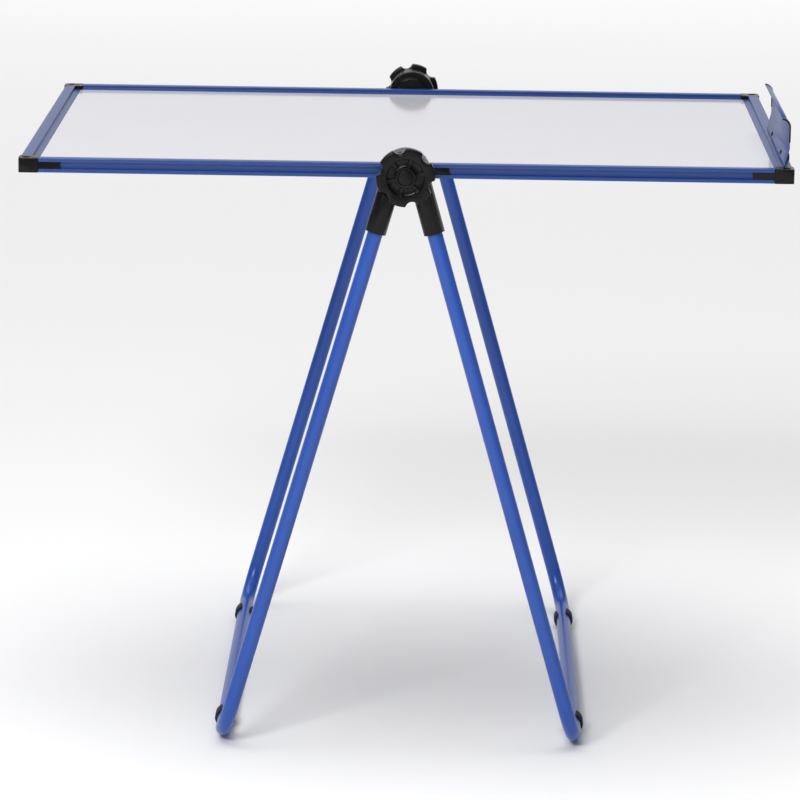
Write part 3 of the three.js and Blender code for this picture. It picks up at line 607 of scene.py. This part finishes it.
# %% Softened mouldings
def softened(node, radius, segments=3):
    """A copy of a CAD node with its edges rounded by a radius in metres."""
    mesh = bmesh.new()
    mesh.from_mesh(frame["nodes"][node].data)
    bmesh.ops.remove_doubles(mesh, verts=mesh.verts, dist=0.001 * MM)
    flat = math.radians(0.6)
    bmesh.ops.dissolve_limit(mesh, angle_limit=flat, verts=mesh.verts, edges=mesh.edges)
    data = bpy.data.meshes.new(node)
    mesh.to_mesh(data)
    mesh.free()
    data.polygons.foreach_set("use_smooth", [True] * len(data.polygons))
    source = link_object("softening", data)
    bevel = source.modifiers.new("rounded_edges", "BEVEL")
    bevel.width = radius
    bevel.segments = segments
    bevel.limit_method = "ANGLE"
    bevel.angle_limit = math.radians(32)
    bevel.harden_normals = True
    return baked(source, f"{node}_moulding")


def build_mouldings(names, radius, material, body, slot):
    for node in names:
        piece = softened(node, radius)
        finish_piece(piece, material, body, slot, node)
    print(len(names), "mouldings on", body, "of", material.name)


ENDS = ("near", "far")
corners = [f"{end}_{side}_corner_block" for end in ENDS for side in ("left", "right")]
build_mouldings(corners, 0.5 * MM, BLACK_ABS, "board", "black_plastic")
for side in ("left", "right"):
    leg = f"{side}_leg"
    build_mouldings([f"{end}_{side}_socket" for end in ENDS], 0.7 * MM, BLACK_ABS, leg, "black_plastic")
    build_mouldings([f"{end}_{side}_foot" for end in ENDS], 0.8 * MM, FOOT_RUBBER, leg, "rubber")
build_mouldings([f"{end}_slide_block" for end in ENDS], 0.3 * MM, BLACK_ABS, "hub", "black_plastic")
build_mouldings([f"{end}_hub_spacer" for end in ENDS], 0.8 * MM, BLACK_ABS, "hub", "black_plastic")
build_mouldings(["tray_clip_1", "tray_clip_2"], 0.35 * MM, BLACK_ABS, "tray", "black_plastic")
build_mouldings(["tray_near_trim", "tray_far_trim"], 0.25 * MM, BLACK_ABS, "tray", "black_plastic")

# %% [markdown]
# ## Clamp knobs
# Each knob is a six-lobed moulding with scallops for the fingers, a ring-shaped recess
# crossed by ribs, and a centre boss under a cap. Its whole skin follows one rule: rings
# of points, each ring with a depth and a radius, where the outer rings also follow the
# lobes. So the mesh is a grid of rings by angles, made with no booleans, and the rounding
# of lobes and edges comes from the formula.

# %% Knob surface
KNOB_RADIUS = 34.2 * MM
KNOB_THICKNESS = 14.7 * MM
KNOB_NECK_RADIUS = 29 * MM
SCALLOP_RADIUS = 8 * MM
SCALLOP_FLOOR = 28.7 * MM
KNOB_LOBES = 6
FIRST_SCALLOP = {"near": math.radians(43), "far": math.radians(17)}
RECESS_OUTER = 22 * MM
RECESS_INNER = 12 * MM
RECESS_DEPTH = 4.5 * MM
RIB_HALF_ANGLE = math.radians(7)
CAP_SEAT_RADIUS = 9.1 * MM
ANGLE_STEPS = 216


def smooth_least(a, b, blend):
    """The lesser of two lengths, with the corner between them rounded over a blend length."""
    overlap = max(blend - abs(a - b), 0) / blend
    return min(a, b) - overlap * overlap * blend / 4


def lobe_radius(angle):
    """The knob's outer radius at an angle from a scallop: a circle bitten by six round scallops."""
    pitch = 2 * math.pi / KNOB_LOBES
    off = (angle + pitch / 2) % pitch - pitch / 2
    reach = SCALLOP_FLOOR + SCALLOP_RADIUS
    across = abs(reach * math.sin(off))
    if across >= SCALLOP_RADIUS:
        return KNOB_RADIUS
    bite = reach * math.cos(off) - math.sqrt(SCALLOP_RADIUS**2 - across**2)
    return smooth_least(KNOB_RADIUS, bite, 2.2 * MM)


def rib_rise(angle):
    """How much of the recess a rib fills at an angle from a scallop, from 0 to 1."""
    pitch = 2 * math.pi / KNOB_LOBES
    off = abs(angle % pitch - pitch / 2)
    edge = (off - RIB_HALF_ANGLE) / math.radians(2.5)
    return 1 - min(max(edge, 0), 1)


def knob_rings():
    """The knob's skin, back to front, as (depth, radius, follows lobes, rib share) rings."""
    back, front = 0.0, KNOB_THICKNESS
    rings = [(back, 3.3 * MM, 0, 0), (back, 12 * MM, 0, 0), (back, KNOB_NECK_RADIUS - 1 * MM, 0, 0)]
    rings.append((back + 0.5 * MM, KNOB_NECK_RADIUS - 0.2 * MM, 0, 0))
    rings.append((back + 2.2 * MM, KNOB_NECK_RADIUS, 0, 0))
    edge = 2.4 * MM
    for step in range(5):
        turn = step / 4 * math.pi / 2
        inset = edge * (1 - math.sin(turn)) * 0.8
        rings.append((back + 2.6 * MM + edge * 0.8 * (1 - math.cos(turn)), -inset, 1, 0))
    for step in range(7):
        turn = step / 6 * math.pi / 2
        rings.append((front - edge + edge * math.sin(turn), -edge * (1 - math.cos(turn)), 1, 0))
    rings += [
        (front, RECESS_OUTER + 0.7 * MM, 0, 0),
        (front - 0.15 * MM, RECESS_OUTER + 0.2 * MM, 0, 0),
        (front - 0.6 * MM, RECESS_OUTER, 0, 0),
        (front - RECESS_DEPTH + 0.5 * MM, RECESS_OUTER - 0.6 * MM, 0, 1),
        (front - RECESS_DEPTH, RECESS_OUTER - 1.2 * MM, 0, 1),
        (front - RECESS_DEPTH, RECESS_INNER + 1.1 * MM, 0, 1),
        (front - RECESS_DEPTH + 0.5 * MM, RECESS_INNER + 0.5 * MM, 0, 1),
        (front - 0.6 * MM, RECESS_INNER, 0, 0),
        (front - 0.15 * MM, RECESS_INNER - 0.2 * MM, 0, 0),
        (front, RECESS_INNER - 0.7 * MM, 0, 0),
        (front, CAP_SEAT_RADIUS + 0.4 * MM, 0, 0),
        (front - 0.4 * MM, CAP_SEAT_RADIUS, 0, 0),
        (front - 3.0 * MM, CAP_SEAT_RADIUS, 0, 0),
        (front - 3.0 * MM, 3.3 * MM, 0, 0),
    ]
    return rings


def knob_mesh(name, outward):
    """A knob on the hub axis, with its front towards +Y or -Y."""
    low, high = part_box(f"{name}_knob_body")
    back_y = min(abs(low.y), abs(high.y))
    mesh = bmesh.new()
    grid = []
    for depth, radius, follows, rib in knob_rings():
        row = []
        for step in range(ANGLE_STEPS):
            angle = step / ANGLE_STEPS * 2 * math.pi
            reach = radius + (lobe_radius(angle) if follows else 0)
            lift = rib * rib_rise(angle) * (RECESS_DEPTH - 1.4 * MM)
            turned = angle + FIRST_SCALLOP[name]
            x = -outward * reach * math.cos(turned)
            y = outward * (back_y + depth + lift)
            row.append(mesh.verts.new((HUB.x + x, y, HUB.z + reach * math.sin(turned))))
        grid.append(row)
    grid.append(grid[0])
    for inner, outer in zip(grid, grid[1:]):
        for step in range(ANGLE_STEPS):
            after = (step + 1) % ANGLE_STEPS
            mesh.faces.new((inner[step], inner[after], outer[after], outer[step]))
    bmesh.ops.recalc_face_normals(mesh, faces=mesh.faces)
    data = bpy.data.meshes.new(f"{name}_knob")
    mesh.to_mesh(data)
    mesh.free()
    return link_object(f"{name}_knob_moulding", data)


for end, outward in (("near", -1), ("far", 1)):
    knob = knob_mesh(end, outward)
    finish_piece(knob, BLACK_ABS, f"{end}_knob", "black_plastic", f"{end}_knob_body")
    smooth(knob, 40)
    cap = softened(f"{end}_knob_cap", 0.9 * MM)
    finish_piece(cap, BLACK_ABS, f"{end}_knob", "black_plastic", f"{end}_knob_cap")
    print(knob.name, len(knob.data.polygons), "faces")

# %% [markdown]
# ## Pen tray
# The tray is thin sheet, bent up from the rail and curled over at the lip. Its
# CAD node has the bends as short flats. Here the shape is copied and its cut edges are
# rounded a little, since the coat runs thin over them, and the bends are shaded smooth.

# %% Pen tray
tray = softened("pen_tray", 0.2 * MM, segments=2)
finish_piece(tray, SHEET_COAT, "tray", "blue_tray", "pen_tray")
print(tray.name, len(tray.data.polygons), "faces")

# %% [markdown]
# ## Screws
# Small fasteners repeat, so a Geometry Nodes tree places them: it takes one fastener and
# a cloud of points, turns each copy by the point's own stored turn, and realizes them
# into one plain mesh for each body. The screw itself is a turned profile with a cross
# pressed into its head. Each cross points its own way, as it would after tightening.


# %% The fastener tree
def fastener_tree():
    inputs = {"Fastener": "Object", "Plating": "Material"}
    tree, identifiers = new_geometry_tree("placed_fasteners", inputs)
    given = add_node(tree, "NodeGroupInput").outputs
    shape = add_node(
        tree, "GeometryNodeObjectInfo", inputs={"Object": given["Fastener"], "As Instance": True}
    )
    turn = add_node(
        tree, "GeometryNodeInputNamedAttribute", {"data_type": "FLOAT_VECTOR"}, {"Name": "turn"}
    )
    rotation = add_node(
        tree, "FunctionNodeEulerToRotation", inputs={"Euler": turn.outputs["Attribute"]}
    )
    placed = add_node(
        tree,
        "GeometryNodeInstanceOnPoints",
        inputs={
            "Points": given["Geometry"],
            "Instance": shape.outputs["Geometry"],
            "Rotation": rotation.outputs["Rotation"],
        },
    )
    realized = add_node(
        tree, "GeometryNodeRealizeInstances", inputs={"Geometry": placed.outputs["Instances"]}
    )
    plated = add_node(
        tree,
        "GeometryNodeSetMaterial",
        inputs={"Geometry": realized.outputs["Geometry"], "Material": given["Plating"]},
    )
    add_node(tree, "NodeGroupOutput", inputs={"Geometry": plated.outputs["Geometry"]})
    return tree, identifiers


FASTENERS, FASTENER_INPUTS = fastener_tree()
print("tree", FASTENERS.name)


# %% Turned screw shapes
HEAD_STEPS = 48


def turned_head(name, radius, height, shank, length, cross):
    """A domed head above z = 0 with a shank below and a cross recess of that width."""
    mesh = bmesh.new()
    steps = HEAD_STEPS
    dome = [(radius * math.cos(a), height * (0.35 + 0.65 * math.sin(a))) for a in (0, 0.3, 0.6, 0.9, 1.2)]
    profile = [(0.0, -length), (shank, -length), (shank, 0.0), (radius, 0.0), *dome, (0.0, height)]
    rows = []
    for reach, z in profile:
        if reach == 0:
            rows.append([mesh.verts.new((0, 0, z))] * steps)
            continue
        turns = [i / steps * 2 * math.pi for i in range(steps)]
        rows.append([mesh.verts.new((reach * math.cos(a), reach * math.sin(a), z)) for a in turns])
    for lower, upper in zip(rows, rows[1:]):
        for i in range(steps):
            corners = [lower[i], lower[(i + 1) % steps], upper[(i + 1) % steps], upper[i]]
            unique = list(dict.fromkeys(corners))
            mesh.faces.new(unique)
    bmesh.ops.recalc_face_normals(mesh, faces=mesh.faces)
    data = bpy.data.meshes.new(name)
    mesh.to_mesh(data)
    mesh.free()
    return smooth(cross_recessed(link_object(name, data), radius * 0.6, cross, height), 30)


def cross_recessed(body, reach, width, height):
    """A screw with a tapered cross cut into its head."""
    mesh = bmesh.new()
    bottom = 0.35
    for turn in (0, math.pi / 2):
        made = bmesh.ops.create_cube(mesh, size=1.0)["verts"]
        for vert in made:
            taper = 1.0 if vert.co.z > 0 else bottom
            z = height * 1.6 if vert.co.z > 0 else height * 0.3
            vert.co = Vector((vert.co.x * 2 * reach * taper, vert.co.y * width, z))
        bmesh.ops.rotate(mesh, verts=made, cent=(0, 0, 0), matrix=Matrix.Rotation(turn, 3, "Z"))
    data = bpy.data.meshes.new("cross")
    mesh.to_mesh(data)
    mesh.free()
    tool = link_object("cross", data)
    cut = body.modifiers.new("cross_recess", "BOOLEAN")
    cut.operation = "DIFFERENCE"
    cut.object = tool
    cut.use_self = True
    made = baked(body, f"{body.name}_cut")
    bpy.data.objects.remove(tool)
    return made


# %% Place the fasteners
def place_fasteners(name, shape, nodes, turns, body):
    """Puts a fastener shape at the seat of each CAD node, joined as one piece for a body."""
    seats = []
    for node, turn in zip(nodes, turns):
        low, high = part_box(node)
        middle = (low + high) / 2
        head = Euler(turn).to_matrix() @ Vector((0, 0, 1))
        half = abs((high - low).dot(head)) / 2
        seats.append(middle + head * (half - HEAD_HEIGHT[shape.name]))
    mesh = bpy.data.meshes.new(name)
    mesh.from_pydata(seats, [], [])
    stored = mesh.attributes.new("turn", "FLOAT_VECTOR", "POINT")
    for point, turn in zip(stored.data, turns):
        point.vector = turn
    values = {"Fastener": shape, "Plating": ZINC}
    piece = run_tree(link_object(name, mesh), FASTENERS, FASTENER_INPUTS, values, name)
    finish_piece(piece, ZINC, body, "zinc_steel", *nodes)
    print(piece.name, len(nodes), "fasteners")
    return piece


corner_screw = turned_head("corner_screw_shape", 3.9 * MM, 2.4 * MM, 2 * MM, 10.7 * MM, 1.1 * MM)
socket_screw = turned_head("socket_screw_shape", 3.4 * MM, 2.2 * MM, 1.6 * MM, 4.1 * MM, 0.9 * MM)
HEAD_HEIGHT = {corner_screw.name: 2.4 * MM, socket_screw.name: 2.2 * MM}

corner_nodes = [f"{end}_{side}_corner_screw" for end in ENDS for side in ("left", "right")]
corner_turns = [(0, 0, math.radians(angle)) for angle in (12, 58, 33, 79)]
place_fasteners("corner_screws", corner_screw, corner_nodes, corner_turns, "board")
for side in ("left", "right"):
    socket_nodes = [f"{end}_{side}_socket_screw" for end in ENDS]
    socket_turns = [(-math.pi / 2, 0, 0), (math.pi / 2, 0, 0)]
    place_fasteners(f"{side}_socket_screws", socket_screw, socket_nodes, socket_turns, f"{side}_leg")
for shape in (corner_screw, socket_screw):
    bpy.data.objects.remove(shape)

# %% [markdown]
# ## Pieces kept from CAD
# The two writing sheets are flat steel, and their CAD solids are already right, so they
# only get their lacquer. The bolts, nuts and washers are small and mostly hidden, and
# get the zinc. The tray's two rivets are blackened, and the core gets its honeycomb.

# %% Finishes on CAD nodes
KEPT = {
    WRITING_LACQUER: ["writing_sheet_top", "writing_sheet_bottom"],
    HONEYCOMB: ["board_core"],
    ZINC: [f"{end}_{part}" for end in ENDS for part in ("hub_bolt", "hub_washer", "knob_nut")],
    BLACK_STEEL: ["tray_rivet_1", "tray_rivet_2"],
}
for material, names in KEPT.items():
    for name in names:
        data = frame["nodes"][name].data
        data.materials.clear()
        data.materials.append(material)
    print(material.name, "on", len(names), "CAD nodes")

# %% [markdown]
# ## Floor and light
# The studio is plain: a pale floor wide enough to reach past the picture. A very wide,
# soft light from straight above keeps the floor and the board white, and stands for the
# bright ceiling of a studio. One large softbox in front, low enough to reach into
# the rail grooves, lights the sides. A long white wall glows far behind: surfaces that
# the eye meets at a low angle mirror it, which is what makes tops of rails look pale.

# %% Floor and light
FLOOR_HALF = 30.0
CEILING_SPREAD = math.radians(60)
CEILING_STRENGTH = 2.0
SURROUNDING = 0.15


def aim(light, place, target):
    """Puts a light at a place, turned towards a target."""
    scene.collection.objects.link(light)
    light.location = place
    light.rotation_euler = (Vector(target) - Vector(place)).to_track_quat("-Z", "Y").to_euler()


floor_mesh = bpy.data.meshes.new("studio_floor")
edge = FLOOR_HALF
floor_corners = [(-edge, -edge, 0), (edge, -edge, 0), (edge, edge, 0), (-edge, edge, 0)]
floor_mesh.from_pydata(floor_corners, [], [(0, 1, 2, 3)])
floor = link_object("studio_floor", floor_mesh)
floor_material, _, _ = new_material("matte_paper", {"Base Color": linear("#F7F7F7"), "Roughness": 1.0})
floor.data.materials.append(floor_material)

world = bpy.data.worlds.new("studio")
world.use_nodes = True
world.node_tree.nodes["Background"].inputs["Color"].default_value = linear("#FFFFFF")
world.node_tree.nodes["Background"].inputs["Strength"].default_value = SURROUNDING
scene.world = world

ceiling = bpy.data.lights.new("bright_ceiling", "SUN")
ceiling.angle = CEILING_SPREAD
ceiling.energy = CEILING_STRENGTH
aim(bpy.data.objects.new("bright_ceiling", ceiling), (-0.3, 0.2, 4.0), (0, 0, 0))


def softbox(name, width, height, watts, place, target):
    """A rectangular light that the camera doesn't see."""
    data = bpy.data.lights.new(name, "AREA")
    data.shape = "RECTANGLE"
    data.size = width
    data.size_y = height
    data.energy = watts
    light = bpy.data.objects.new(name, data)
    light.visible_camera = False
    aim(light, place, target)


softbox("front_softbox", 1.5, 1.1, 105, (-1.2, -3.4, 2.7), (0, 0, 0.5))
softbox("white_wall", 16.0, 4.0, 135, (0, 8.0, 2.1), (0, 0, 2.1))
print("floor", 2 * FLOOR_HALF, "m wide")
